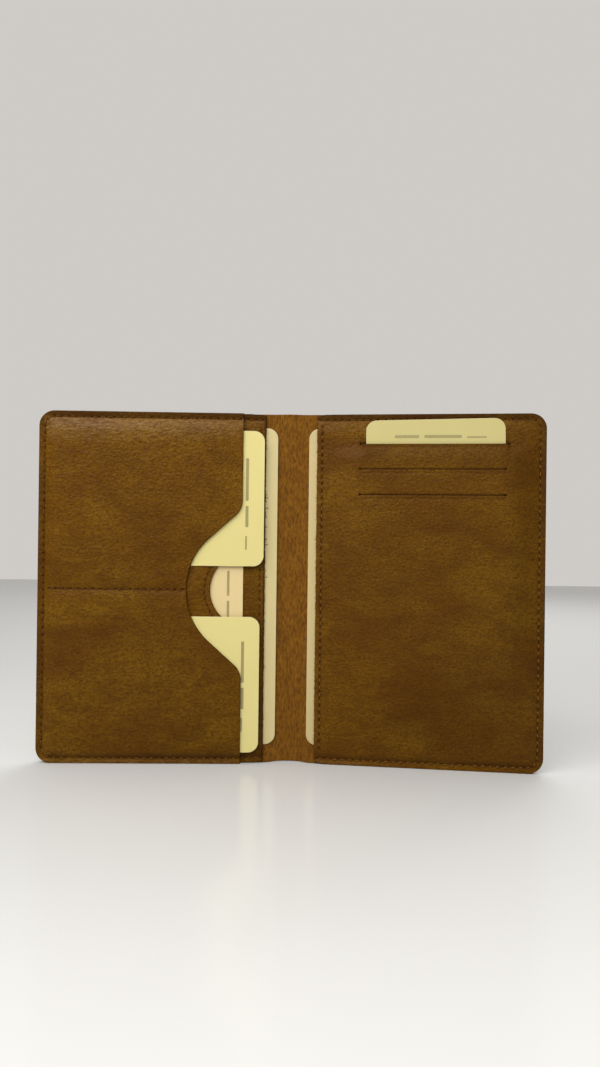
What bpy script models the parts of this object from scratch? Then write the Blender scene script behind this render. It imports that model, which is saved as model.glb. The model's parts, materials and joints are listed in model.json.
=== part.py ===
"""Bifold travel document wallet, standing open on its bottom edges.

Each leaf is drawn flat: x runs outwards from the middle of the spine, z up from the bottom edge, and depth
forwards from the back face of the cover. The leaf is then turned forwards about its vertical crease.
"""

import math

import bmesh
import bpy
from mathutils import Matrix, Vector

MM = 0.001

# Whole wallet
HEIGHT = 140 * MM
LEAF_REACH = 100 * MM
CORNER_RADIUS = 6 * MM
LEFT_TILT = math.radians(1.8)
RIGHT_TILT = math.radians(6.6)

# Leather and creases
COVER_THICKNESS = 1.2 * MM
PANEL_THICKNESS = 0.8 * MM
SPINE_THICKNESS = 0.75 * MM
CREASE_X = 4.5 * MM
CREASE_DEPTH = COVER_THICKNESS
CREASE_GAP = 0.05 * MM

# Seams round the leaves
RIM_BAND = 2.7 * MM
RIM_RAMP = 1.8 * MM
SEAM_INSET = 2.3 * MM
BEAD_RADIUS = 0.2 * MM
BEAD_GAP = 0.03 * MM
GROOVE_RADIUS = 0.28 * MM
GROOVE_MARGIN = 0.2 * MM
CORNER_LIFT = 1.2
SEAM_START = 1 * MM
SEAM_LEAD = 2 * MM
STEP_FOOT = 2.4 * MM
STEP_TOP = 0.9 * MM
MERGE_DISTANCE = 0.01 * MM

# Left leaf, as the depth of each layer's back face on the flat and at the pressed rim
BACKING_EDGE = 10.0 * MM
BACKING_FLAT, BACKING_RIM = 1.7 * MM, 1.3 * MM
ID_POCKET_EDGE = 19.2 * MM
ID_POCKET_FLAT, ID_POCKET_RIM = 3.0 * MM, 2.2 * MM
CARD_POCKET_EDGE = 19.0 * MM
CARD_POCKET_FLAT, CARD_POCKET_RIM = 4.3 * MM, 3.1 * MM
MIDDLE = 69.4 * MM
HALF_MOON_RADIUS = 14.5 * MM
HALF_MOON_X = 17.2 * MM
NOTCH_DEEPEST = 41.1 * MM
NOTCH_RADIUS = 27.6 * MM
NOTCH_SLOPE = math.radians(48)
SHOULDER_RADIUS = 8 * MM
DIVIDER_PRESS = 0.4 * MM
DIVIDER_BAND = 0.8 * MM
DIVIDER_RAMP = 3.0 * MM
DIVIDER_END = 1.7 * MM
HALF_MOON_SEAM = 1.8 * MM
BACKING_SEAM = 11.9 * MM
BACKING_SEAM_END = 8 * MM

# Right leaf
LINING_THICKNESS = 0.15 * MM
LINING_EDGE = 13.5 * MM
LINING_FLAT, LINING_RIM = 1.7 * MM, 1.3 * MM
SLOT_PANEL_EDGE = 10.7 * MM
SLOT_PANEL_FLAT, SLOT_PANEL_RIM = 1.95 * MM, 1.55 * MM
SLOT_PANEL_SEAM = 12.8 * MM
BULGE_HEIGHT = 2.25 * MM
BULGE_X = (15.0 * MM, 29.0 * MM, 86.4 * MM, 95.0 * MM)
BULGE_Z = (26.0 * MM, 38.0 * MM)
LIP_HEIGHT = 1.4 * MM
LIP_X = (27.3 * MM, 30.4 * MM, 85.0 * MM, 86.3 * MM)
LIP_DROP = 6.0 * MM
SLIT_LEVELS = (128.1 * MM, 118.0 * MM, 107.9 * MM)
SLIT_START = 28.0 * MM
SLIT_ENDS = (85.6 * MM, 84.1 * MM, 84.1 * MM)
SLIT_HALF_WIDTH = 0.15 * MM
PUNCH_RADIUS = 0.5 * MM
POCKET_X = (29.9 * MM, 85.7 * MM)
POCKET_WALL = 0.2 * MM
BAG_BOTTOM = 50.5 * MM
BAG_DEPTH = 2.6 * MM
BAG_THICKNESS = 0.9 * MM
BAG_SEAM = 0.6 * MM
FOLD_RADIUS = 1 * MM

# The two empty pockets as a name, bottom, top and depth, in millimetres
FOLDED_POCKETS = (
    ("slot_pocket_middle", 46.0, 115.0, 3.6),
    ("slot_pocket_lower", 42.0, 105.0, 3.9),
)

# Cards as a name, centre, size, depth and colour, in millimetres
CARD_THICKNESS = 0.3 * MM
CARD_CORNER = 4.2 * MM
LEFT_CARDS = (
    ("left_passport_insert", (-49.2, 70.9), (88.0, 127.0), 1.3, "straw_card"),
    ("id_card", (-55.6, 70.0), (74.0, 105.0), 2.6, "cream_card"),
    ("upper_card", (-51.5, 105.9), (82.0, 54.0), 3.9, "yellow_card"),
    ("lower_card", (-52.8, 31.7), (82.0, 54.0), 3.9, "yellow_card"),
)
RIGHT_CARDS = (
    ("right_passport_insert", (51.4, 70.9), (88.0, 127.0), 1.3, "straw_card"),
    ("slot_card", (57.8, 94.9), (54.0, 85.6), 2.9, "yellow_card"),
)

# Linear colours
LEATHER = (0.165, 0.072, 0.013)
FLESH_SIDE = (0.19, 0.082, 0.012)
THREAD = (0.07, 0.032, 0.010)
TEXTILE = (0.10, 0.065, 0.035)
YELLOW_CARD = (0.72, 0.62, 0.25)
CREAM_CARD = (0.74, 0.61, 0.33)
STRAW_CARD = (0.66, 0.53, 0.26)


def clear_scene():
    for obj in list(bpy.data.objects):
        bpy.data.objects.remove(obj, do_unlink=True)


def make_collection(name):
    collection = bpy.data.collections.new(name)
    bpy.context.scene.collection.children.link(collection)
    return collection


def make_material(name, colour, roughness):
    material = bpy.data.materials.new(name)
    material.use_nodes = True
    shader = material.node_tree.nodes["Principled BSDF"]
    shader.inputs["Base Color"].default_value = (*colour, 1.0)
    shader.inputs["Roughness"].default_value = roughness
    shader.inputs["Metallic"].default_value = 0.0
    return material


def add_object(name, data, collection, material=None, parent=None, location=(0, 0, 0)):
    obj = bpy.data.objects.new(name, data)
    obj.location = location
    obj.parent = parent
    if material:
        data.materials.append(material)
    collection.objects.link(obj)
    return obj


def clamp(value):
    return max(0.0, min(1.0, value))


def arc(centre, radius, start, end, steps=6):
    """Points on a circle, with the angles in degrees."""
    turn = [math.radians(start + (end - start) * i / steps) for i in range(steps + 1)]
    return [(centre[0] + radius * math.cos(a), centre[1] + radius * math.sin(a)) for a in turn]


def rounded_rectangle(x0, x1, z0, z1, radius):
    corners = (
        ((x1 - radius, z0 + radius), -90, 0),
        ((x1 - radius, z1 - radius), 0, 90),
        ((x0 + radius, z1 - radius), 90, 180),
        ((x0 + radius, z0 + radius), 180, 270),
    )
    return [point for centre, start, end in corners for point in arc(centre, radius, start, end)]


def leaf_outline(side, inner_edge):
    """Points from the top of the inner edge round the outer corners to the bottom of the inner edge."""
    r = CORNER_RADIUS
    outer = [
        *arc((LEAF_REACH - r, HEIGHT - r), r, 90, 0),
        *arc((LEAF_REACH - r, r), r, 0, -90),
    ]
    points = [(inner_edge, HEIGHT), *outer, (inner_edge, 0.0)]
    return [(side * x, z) for x, z in points]


def half_moon_edge():
    """The identity card pocket's free edge, from the bottom up, with a half moon cut out of it."""
    offset = ID_POCKET_EDGE - HALF_MOON_X
    end = 180 - math.degrees(math.acos(offset / HALF_MOON_RADIUS))
    centre = (-HALF_MOON_X, MIDDLE)
    return arc(centre, HALF_MOON_RADIUS, 360 - end, end, 18)[1:-1]


def thumb_notch_edge():
    """The card pocket's free edge: a wide arc that runs through sloping sides into two round shoulders."""
    slope = math.degrees(NOTCH_SLOPE)
    deep = arc((-NOTCH_DEEPEST + NOTCH_RADIUS, MIDDLE), NOTCH_RADIUS, 180 + slope, 180 - slope, 16)
    shoulder_drop = SHOULDER_RADIUS * (1 - math.cos(NOTCH_SLOPE))
    run = -CARD_POCKET_EDGE - shoulder_drop - deep[-1][0]
    shoulder_z = deep[-1][1] + run / math.tan(NOTCH_SLOPE) + SHOULDER_RADIUS * math.sin(NOTCH_SLOPE)
    top = arc((-CARD_POCKET_EDGE - SHOULDER_RADIUS, shoulder_z), SHOULDER_RADIUS, -slope, 0, 6)
    bottom = [(x, 2 * MIDDLE - z) for x, z in reversed(top)]
    return bottom + deep + top


def slit_outline(level, end):
    """A narrow slit with a round punched hole at each end."""
    half_angle = math.degrees(math.asin(SLIT_HALF_WIDTH / PUNCH_RADIUS))
    left = arc((SLIT_START, level), PUNCH_RADIUS, half_angle, 360 - half_angle, 8)
    right = arc((end, level), PUNCH_RADIUS, -180 + half_angle, 180 - half_angle, 8)
    return left + right


def flat_solid(outlines, thickness):
    """One closed solid from 2D outlines, its back face at local z 0. Outlines inside the first are holes."""
    curve = bpy.data.curves.new("outline", "CURVE")
    curve.dimensions = "2D"
    curve.fill_mode = "BOTH"
    curve.extrude = thickness / 2
    for outline in outlines:
        spline = curve.splines.new("POLY")
        spline.points.add(len(outline) - 1)
        for point, (x, z) in zip(spline.points, outline):
            point.co = (x, z, 0.0, 1.0)
        spline.use_cyclic_u = True
    holder = bpy.data.objects.new("outline", curve)
    bpy.context.scene.collection.objects.link(holder)
    mesh = bpy.data.meshes.new_from_object(holder)
    bpy.data.objects.remove(holder, do_unlink=True)
    bpy.data.curves.remove(curve)
    mesh.transform(Matrix.Translation((0, 0, thickness / 2)))
    return mesh


def cut_lines(bm, lines):
    """Split faces along lines given as a point and a normal in the leaf's plane."""
    for (x, z), (nx, nz) in lines:
        geometry = bm.verts[:] + bm.edges[:] + bm.faces[:]
        bmesh.ops.bisect_plane(bm, geom=geometry, dist=1e-6, plane_co=(x, z, 0), plane_no=(nx, nz, 0))


def stand_up(mesh, hinge):
    """Turn a flat mesh upright, so that its depth runs forwards, and move it into its hinge's frame."""
    mesh.transform(Matrix.Rotation(math.radians(90), 4, "X"))
    mesh.transform(Matrix.Translation(-Vector(hinge)))


def shaped_panel(outlines, thickness, lines, depth_at):
    """A thin panel whose back face follows depth_at(x, z), cut along the lines where its slope changes."""
    mesh = flat_solid(outlines, thickness)
    bm = bmesh.new()
    bm.from_mesh(mesh)
    bmesh.ops.remove_doubles(bm, verts=bm.verts, dist=MERGE_DISTANCE)
    cut_lines(bm, lines)
    bmesh.ops.triangulate(bm, faces=bm.faces)
    for vert in bm.verts:
        vert.co.z += depth_at(vert.co.x, vert.co.y)
    bm.to_mesh(mesh)
    bm.free()
    return mesh


def rim_share(x, z):
    """0 on the stitched rim of a leaf and 1 on its flat."""
    inset = min(LEAF_REACH - abs(x), z, HEIGHT - z)
    return clamp((inset - RIM_BAND) / RIM_RAMP)


def rim_lines(side):
    lines = []
    for inset in (RIM_BAND, RIM_BAND + RIM_RAMP):
        lines.append(((side * (LEAF_REACH - inset), 0), (1, 0)))
        lines.append(((0, inset), (0, 1)))
        lines.append(((0, HEIGHT - inset), (0, 1)))
    lines.append(((side * LEAF_REACH, 0), (side, 1)))
    lines.append(((side * LEAF_REACH, HEIGHT), (side, -1)))
    return lines


def backing_depth(x, z):
    return BACKING_RIM + (BACKING_FLAT - BACKING_RIM) * rim_share(x, z)


def id_pocket_depth(x, z):
    return ID_POCKET_RIM + (ID_POCKET_FLAT - ID_POCKET_RIM) * rim_share(x, z)


def card_pocket_depth(x, z):
    """The card pocket follows the rim, and is pressed down along its divider seam."""
    rim = CARD_POCKET_RIM + (CARD_POCKET_FLAT - CARD_POCKET_RIM) * rim_share(x, z)
    valley = clamp((abs(z - MIDDLE) - DIVIDER_BAND) / DIVIDER_RAMP)
    return min(rim, CARD_POCKET_FLAT - DIVIDER_PRESS * (1 - valley))


def lining_depth(x, z):
    return LINING_RIM + (LINING_FLAT - LINING_RIM) * rim_share(x, z)


def plateau(value, limits):
    """0 outside the limits, 1 between the inner two and sloping between."""
    return min(clamp((value - limits[0]) / (limits[1] - limits[0])),
               clamp((limits[3] - value) / (limits[3] - limits[2])))


def slot_panel_depth(x, z):
    """The slot panel swells over its pockets and steps back above the top slit, behind the card there."""
    depth = SLOT_PANEL_RIM + (SLOT_PANEL_FLAT - SLOT_PANEL_RIM) * rim_share(x, z)
    below_slit = SLIT_LEVELS[0] - z
    if below_slit <= 0:
        return depth
    full = BULGE_HEIGHT * plateau(x, BULGE_X) * clamp((z - BULGE_Z[0]) / (BULGE_Z[1] - BULGE_Z[0]))
    lip = LIP_HEIGHT * plateau(x, LIP_X)
    share = clamp(below_slit / LIP_DROP)
    return depth + lip * (1 - share) + full * share


def divider_lines():
    levels = [s * d for s in (-1, 1) for d in (DIVIDER_BAND, DIVIDER_BAND + DIVIDER_RAMP)]
    return [((0, MIDDLE + level), (0, 1)) for level in levels]


def slot_panel_lines():
    upright = [((x, 0), (1, 0)) for x in BULGE_X + LIP_X]
    levels = [*BULGE_Z, SLIT_LEVELS[0] - LIP_DROP, SLIT_LEVELS[0]]
    return rim_lines(1) + upright + [((0, z), (0, 1)) for z in levels]


def seam_path(side, inner_end, depths, ramp=0.0):
    """A seam inset from the leaf's edge, at depths given as (distance out from the spine, depth) steps.

    Round the outer corners it climbs the pressed rim's ramp, whose whole height is given.
    """
    radius = CORNER_RADIUS - SEAM_INSET
    outer = LEAF_REACH - SEAM_INSET
    low, high = SEAM_INSET, HEIGHT - SEAM_INSET
    run = [(start, low, depth) for start, depth in depths]
    corner_depth = depths[-1][1]
    corners = arc((outer - radius, low + radius), radius, -90, 0, 8)
    corners += arc((outer - radius, high - radius), radius, 0, 90, 8)
    run += [(x, z, corner_depth + CORNER_LIFT * ramp * rim_share(x, z)) for x, z in corners]
    run += [(start, high, depth) for start, depth in reversed(depths)]
    run = [(inner_end, low, depths[0][1])] + run + [(inner_end, high, depths[0][1])]
    return [(side * x, z, depth) for x, z, depth in run]


def tube_mesh(path, radius):
    """A round bead along a path of (x, z, depth) points, with filled ends."""
    curve = bpy.data.curves.new("bead", "CURVE")
    curve.dimensions = "3D"
    curve.bevel_depth = radius
    curve.bevel_resolution = 2
    curve.use_fill_caps = True
    spline = curve.splines.new("POLY")
    spline.points.add(len(path) - 1)
    for point, (x, z, depth) in zip(spline.points, path):
        point.co = (x, z, depth, 1.0)
    holder = bpy.data.objects.new("bead", curve)
    bpy.context.scene.collection.objects.link(holder)
    mesh = bpy.data.meshes.new_from_object(holder)
    bpy.data.objects.remove(holder, do_unlink=True)
    bpy.data.curves.remove(curve)
    bm = bmesh.new()
    bm.from_mesh(mesh)
    bmesh.ops.remove_doubles(bm, verts=bm.verts, dist=MERGE_DISTANCE)
    bmesh.ops.recalc_face_normals(bm, faces=bm.faces)
    bm.to_mesh(mesh)
    bm.free()
    return mesh


def cut_away(obj, cutter_mesh, cutters):
    """Take a cutter's volume out of an object with an exact Boolean, applied to its mesh."""
    cutter = add_object(obj.name + "_cutter", cutter_mesh, cutters, parent=obj.parent)
    cutter.location = obj.location
    cutter.hide_render = True
    cutter.display_type = "WIRE"
    modifier = obj.modifiers.new("cut", "BOOLEAN")
    modifier.operation = "DIFFERENCE"
    modifier.solver = "EXACT"
    modifier.object = cutter


class Leaf:
    """One half of the wallet, on an empty that stands on its crease."""

    def __init__(self, name, side, tilt, body, cutters, origin):
        self.side = side
        self.body = body
        self.cutters = cutters
        self.hinge = (side * CREASE_X, -CREASE_DEPTH, 0.0)
        self.empty = add_object(name, None, body, parent=origin, location=self.hinge)
        self.empty.rotation_euler = (0, 0, -side * tilt)

    def panel(self, name, mesh, material):
        stand_up(mesh, self.hinge)
        return add_object(name, mesh, self.body, material, self.empty)

    def groove(self, obj, path):
        mesh = tube_mesh(path, GROOVE_RADIUS)
        stand_up(mesh, self.hinge)
        cut_away(obj, mesh, self.cutters)

    def bead(self, name, path, material):
        return self.panel(name, tube_mesh(path, BEAD_RADIUS), material)

    def card(self, name, centre, size, depth, material):
        """A rounded card whose own origin is its centre."""
        half_x, half_z = size[0] / 2, size[1] / 2
        outline = rounded_rectangle(-half_x, half_x, -half_z, half_z, CARD_CORNER)
        mesh = flat_solid([outline], CARD_THICKNESS)
        mesh.transform(Matrix.Rotation(math.radians(90), 4, "X"))
        place = Vector((centre[0], -depth, centre[1])) - Vector(self.hinge)
        return add_object(name, mesh, self.body, material, self.empty, place)


def back_seam(leaf, cover, inner_end, name, material):
    """The seam's run along the back, which lies in a groove so that the back stays flat."""
    depth = BEAD_RADIUS + 2 * BEAD_GAP
    path = seam_path(leaf.side, inner_end, [(inner_end + SEAM_LEAD, depth)])
    leaf.groove(cover, seam_path(leaf.side, inner_end - GROOVE_MARGIN, [(inner_end + SEAM_LEAD, depth)]))
    leaf.bead(name, path, material)


def make_cover(leaf, name, leather):
    outline = leaf_outline(leaf.side, CREASE_X + CREASE_GAP)
    return leaf.panel(name, flat_solid([outline], COVER_THICKNESS), leather)


def make_spine(body, origin, flesh_side):
    half = CREASE_X
    outline = [(-half, 0), (half, 0), (half, HEIGHT), (-half, HEIGHT)]
    mesh = flat_solid([outline], SPINE_THICKNESS)
    stand_up(mesh, (0, 0, 0))
    add_object("spine_panel", mesh, body, flesh_side, origin)


def make_backing_panel(leaf, leather, thread):
    mesh = shaped_panel([leaf_outline(-1, BACKING_EDGE)], PANEL_THICKNESS, rim_lines(-1), backing_depth)
    panel = leaf.panel("left_backing_panel", mesh, leather)
    depth = BACKING_FLAT + PANEL_THICKNESS - BEAD_RADIUS - 2 * BEAD_GAP
    low, high = BACKING_SEAM_END, HEIGHT - BACKING_SEAM_END
    leaf.groove(panel, [(-BACKING_SEAM, z, depth) for z in (low - GROOVE_MARGIN, high + GROOVE_MARGIN)])
    leaf.bead("backing_edge_thread", [(-BACKING_SEAM, z, depth) for z in (low, high)], thread)


def make_id_pocket(leaf, leather, thread):
    outline = leaf_outline(-1, ID_POCKET_EDGE) + half_moon_edge()
    mesh = shaped_panel([outline], PANEL_THICKNESS, rim_lines(-1), id_pocket_depth)
    leaf.panel("id_pocket_panel", mesh, leather)
    depth = ID_POCKET_FLAT + PANEL_THICKNESS + BEAD_GAP + BEAD_RADIUS
    seam = arc((-HALF_MOON_X, MIDDLE), HALF_MOON_RADIUS + HALF_MOON_SEAM, 210, 150, 14)
    leaf.bead("id_notch_thread", [(x, z, depth) for x, z in seam], thread)


def make_card_pocket(leaf, leather, thread):
    outline = leaf_outline(-1, CARD_POCKET_EDGE) + thumb_notch_edge()
    lines = rim_lines(-1) + divider_lines()
    mesh = shaped_panel([outline], PANEL_THICKNESS, lines, card_pocket_depth)
    leaf.panel("card_pocket_panel", mesh, leather)
    depth = CARD_POCKET_FLAT - DIVIDER_PRESS + PANEL_THICKNESS + BEAD_GAP + BEAD_RADIUS
    ends = (LEAF_REACH - RIM_BAND - RIM_RAMP, NOTCH_DEEPEST + DIVIDER_END)
    leaf.bead("divider_thread", [(-x, MIDDLE, depth) for x in ends], thread)


def make_left_seam(leaf, cover, thread):
    """The front run steps down from the card pocket panel to the backing panel near the spine."""
    bead = PANEL_THICKNESS + BEAD_GAP + BEAD_RADIUS
    low, high = BACKING_RIM + bead, CARD_POCKET_RIM + bead
    step = CARD_POCKET_EDGE - BEAD_RADIUS - BEAD_GAP
    depths = [(step - STEP_FOOT, low), (step - STEP_TOP, high), (step + SEAM_LEAD, high)]
    ramp = CARD_POCKET_FLAT - CARD_POCKET_RIM
    inner_end = BACKING_EDGE + SEAM_START
    leaf.bead("left_front_thread", seam_path(-1, inner_end, depths, ramp), thread)
    back_seam(leaf, cover, inner_end, "left_back_thread", thread)


def make_left_leaf(leaf, paint):
    cover = make_cover(leaf, "left_cover", paint["leather"])
    make_backing_panel(leaf, paint["leather"], paint["thread"])
    make_id_pocket(leaf, paint["leather"], paint["thread"])
    make_card_pocket(leaf, paint["leather"], paint["thread"])
    make_left_seam(leaf, cover, paint["thread"])
    make_cards(leaf, LEFT_CARDS, paint)


def make_cards(leaf, cards, paint):
    for name, centre, size, depth, colour in cards:
        centre = [value * MM for value in centre]
        size = [value * MM for value in size]
        leaf.card(name, centre, size, depth * MM, paint[colour])


def make_lining(leaf, textile):
    mesh = shaped_panel([leaf_outline(1, LINING_EDGE)], LINING_THICKNESS, rim_lines(1), lining_depth)
    leaf.panel("slot_lining", mesh, textile)


def make_slot_panel(leaf, leather, thread):
    slits = [slit_outline(*slit) for slit in zip(SLIT_LEVELS, SLIT_ENDS)]
    outlines = [leaf_outline(1, SLOT_PANEL_EDGE)] + slits
    mesh = shaped_panel(outlines, PANEL_THICKNESS, slot_panel_lines(), slot_panel_depth)
    leaf.panel("slot_panel", mesh, leather)
    depth = SLOT_PANEL_FLAT + PANEL_THICKNESS + BEAD_GAP + BEAD_RADIUS
    path = [(SLOT_PANEL_SEAM, z, depth) for z in (RIM_BAND + RIM_RAMP, HEIGHT - RIM_BAND - RIM_RAMP)]
    leaf.bead("slot_panel_edge_thread", path, thread)


def make_slot_pockets(leaf, textile):
    """An open bag holds the card behind the top slit. The two empty pockets lie folded flat over it."""
    top = SLIT_LEVELS[0] - LIP_DROP
    left, right = POCKET_X
    outline = [(left, BAG_BOTTOM), (right, BAG_BOTTOM), (right, top), (left, top)]
    mesh = flat_solid([outline], BAG_THICKNESS)
    mesh.transform(Matrix.Translation((0, 0, BAG_DEPTH)))
    bag = leaf.panel("slot_pocket_upper", mesh, textile)
    left, right = left + BAG_SEAM, right - BAG_SEAM
    low, high = BAG_BOTTOM + BAG_SEAM, top + POCKET_WALL
    outline = [(left, low), (right, low), (right, high), (left, high)]
    cavity = flat_solid([outline], BAG_THICKNESS - 2 * POCKET_WALL)
    cavity.transform(Matrix.Translation((0, 0, BAG_DEPTH + POCKET_WALL)))
    stand_up(cavity, leaf.hinge)
    cut_away(bag, cavity, leaf.cutters)
    for name, low, high, depth in FOLDED_POCKETS:
        outline = rounded_rectangle(*POCKET_X, low * MM, high * MM, FOLD_RADIUS)
        mesh = flat_solid([outline], POCKET_WALL)
        mesh.transform(Matrix.Translation((0, 0, depth * MM)))
        leaf.panel(name, mesh, textile)


def make_right_leaf(leaf, paint):
    cover = make_cover(leaf, "right_cover", paint["leather"])
    make_lining(leaf, paint["textile"])
    make_slot_panel(leaf, paint["leather"], paint["thread"])
    make_slot_pockets(leaf, paint["textile"])
    bead = SLOT_PANEL_RIM + PANEL_THICKNESS + BEAD_GAP + BEAD_RADIUS
    inner_end = SLOT_PANEL_EDGE + SEAM_START
    path = seam_path(1, inner_end, [(inner_end + SEAM_LEAD, bead)], SLOT_PANEL_FLAT - SLOT_PANEL_RIM)
    leaf.bead("right_front_thread", path, paint["thread"])
    back_seam(leaf, cover, inner_end, "right_back_thread", paint["thread"])
    make_cards(leaf, RIGHT_CARDS, paint)


def centre_on_base(origin, body):
    """Move the whole wallet so that the middle of its bounding box is over the origin."""
    bpy.context.view_layer.update()
    meshes = [obj for obj in body.objects if obj.type == "MESH"]
    corners = [obj.matrix_world @ Vector(corner) for obj in meshes for corner in obj.bound_box]
    for axis in (0, 1):
        values = [corner[axis] for corner in corners]
        origin.location[axis] = -(min(values) + max(values)) / 2


def main():
    clear_scene()
    body = make_collection("passport_wallet")
    cutters = make_collection("cutters")
    paint = {
        "leather": make_material("leather", LEATHER, 0.5),
        "flesh_side": make_material("flesh_side", FLESH_SIDE, 0.85),
        "thread": make_material("thread", THREAD, 0.7),
        "textile": make_material("textile", TEXTILE, 0.9),
        "yellow_card": make_material("yellow_card", YELLOW_CARD, 0.45),
        "cream_card": make_material("cream_card", CREAM_CARD, 0.5),
        "straw_card": make_material("straw_card", STRAW_CARD, 0.55),
    }
    origin = add_object("wallet_origin", None, body)
    make_spine(body, origin, paint["flesh_side"])
    left = Leaf("left_crease", -1, LEFT_TILT, body, cutters, origin)
    right = Leaf("right_crease", 1, RIGHT_TILT, body, cutters, origin)
    make_left_leaf(left, paint)
    make_right_leaf(right, paint)
    centre_on_base(origin, body)


main()
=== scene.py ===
"""Looks of the open passport wallet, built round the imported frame: leather, seams, cards, light and camera.

Leaf coordinates are in millimetres: x outwards from the middle of the spine, negative on the left leaf, z up
from the bottom edge, and depth forwards from the back face of the cover.
"""

import json
import math

import bpy
import numpy as np
from mathutils import Matrix, Vector, noise
from mathutils.geometry import delaunay_2d_cdt
from mathutils.kdtree import KDTree


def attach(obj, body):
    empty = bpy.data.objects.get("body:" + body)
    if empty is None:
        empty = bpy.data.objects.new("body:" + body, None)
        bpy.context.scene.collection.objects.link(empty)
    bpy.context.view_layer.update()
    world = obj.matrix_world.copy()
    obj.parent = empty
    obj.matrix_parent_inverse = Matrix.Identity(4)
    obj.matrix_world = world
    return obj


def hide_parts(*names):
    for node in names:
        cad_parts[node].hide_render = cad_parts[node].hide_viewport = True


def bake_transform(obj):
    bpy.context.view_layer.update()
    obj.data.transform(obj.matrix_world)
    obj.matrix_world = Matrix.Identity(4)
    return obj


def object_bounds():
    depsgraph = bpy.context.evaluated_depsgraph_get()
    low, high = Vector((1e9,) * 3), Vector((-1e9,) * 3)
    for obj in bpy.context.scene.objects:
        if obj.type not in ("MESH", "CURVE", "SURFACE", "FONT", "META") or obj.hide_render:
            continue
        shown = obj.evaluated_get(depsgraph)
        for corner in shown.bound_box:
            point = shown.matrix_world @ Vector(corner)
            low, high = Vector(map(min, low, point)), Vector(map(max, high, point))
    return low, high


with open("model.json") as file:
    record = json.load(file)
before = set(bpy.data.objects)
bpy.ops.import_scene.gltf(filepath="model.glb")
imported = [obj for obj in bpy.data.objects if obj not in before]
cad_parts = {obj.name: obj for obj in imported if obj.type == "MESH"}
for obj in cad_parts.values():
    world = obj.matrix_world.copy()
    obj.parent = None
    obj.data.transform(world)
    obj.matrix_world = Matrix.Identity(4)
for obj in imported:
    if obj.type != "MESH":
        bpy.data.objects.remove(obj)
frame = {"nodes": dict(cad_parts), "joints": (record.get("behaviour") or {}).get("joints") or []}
CAD_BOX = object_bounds()

MM = 0.001
LEFT, RIGHT = -1, 1
BODY = {LEFT: "left_leaf", RIGHT: "right_leaf"}
JOINTS = {joint["name"]: joint for joint in frame["joints"]}
CREASES = {LEFT: JOINTS["left_crease"], RIGHT: JOINTS["right_crease"]}
TILT = {side: math.radians(crease["range_deg"][1]) for side, crease in CREASES.items()}
CREASE_X = (CREASES[RIGHT]["pos_m"][0] - CREASES[LEFT]["pos_m"][0]) / 2 / MM
HEIGHT = (CAD_BOX[1].z - CAD_BOX[0].z) / MM
LEAF_REACH = 100.0
CORNER_RADIUS = 6.0

# Leather
COVER_THICKNESS = 1.2
SPINE_THICKNESS = 0.8
SPINE_ARCH, SPINE_RISE, ARCH_WIDTH = 0.55, 0.25, 6.5
SPINE_END = 12
CORNER_PULL = ((0, 1.3), (0.5, 1.0), (2.5, 0.5), (6.0, 0.0))
CORNER_STEPS, MOON_STEPS, NOTCH_STEPS = 12, 40, 50
PANEL_THICKNESS = 0.8
BEND_REACH = 9.0
RIM_BAND, RIM_RAMP, BOTTOM_RAMP = 2.7, 5.0, 2.0
# How dark the band outside the seam is: partly its dye, partly painted shade, more of it along the top.
RIM_DYE_AND_SHADE, TOP_RIM_DYE_AND_SHADE = 0.35, 0.38
SHEET_SPACING = 0.8
EDGE_STEP = 0.5
DETAIL_CELL, DETAIL_CLEARANCE = 0.17, 0.45
CLEAR_OF_EDGE = 0.3
ROW_SHARE = 0.87
RAGGED = ((0.65, 1.5), (0.45, 0.6))
STITCHED_FRAY = 0.03

# Seams
SEAM_INSET = 2.3
STITCH_PITCH, RIGHT_PITCH, MOON_PITCH = 2.95, 2.88, 2.6
SEAM_START, SEAM_END = 1.2, 6.5
MOON_SEAM_INSET, MOON_SEAM_ENDS = 2.3, (238, 122)
THREAD_RADIUS = 0.2
GROOVE_DEPTH, GROOVE_WIDTH = 0.12, 0.6
HOLE_DEPTH, HOLE_WIDTH, HOLE_LENGTH = 0.34, 0.27, 0.28
# Widths of the painted shade in the seam's groove and holes.
GROOVE_SHADE_WIDTH, HOLE_SHADE_WIDTH = 0.42, 0.33
SEAM_OFFSETS = (-1.0, -0.55, -0.26, 0, 0.26, 0.55, 1.0)
THREAD_SINK, THREAD_CROWN, THREAD_FLATNESS = 0.36, 0.42, 0.85
PLAIN_SPAN, BOLD_SPAN_LOSS = 0.72, 0.32

# Left leaf
BACKING_EDGE, BACKING_SEAM = 10.0, 11.9
BACKING_FLAT, BACKING_RIM = 1.7, 1.25
ID_POCKET_EDGE = 19.2
ID_POCKET_FLAT, ID_POCKET_RIM = 3.0, 2.12
CARD_POCKET_EDGE = 19.0
CARD_POCKET_FLAT, CARD_POCKET_RIM = 4.3, 3.02
MIDDLE = 69.4
HALF_MOON_RADIUS, HALF_MOON_X = 14.5, 17.2
NOTCH_DEEPEST, NOTCH_RADIUS, NOTCH_SLOPE = 41.1, 27.6, 48.0
SHOULDER_RADIUS = 8.0
VALLEY_DEPTH, VALLEY_WIDTH = 0.5, 2.2
BACKING_THREAD_SINK = 0.23

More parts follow.
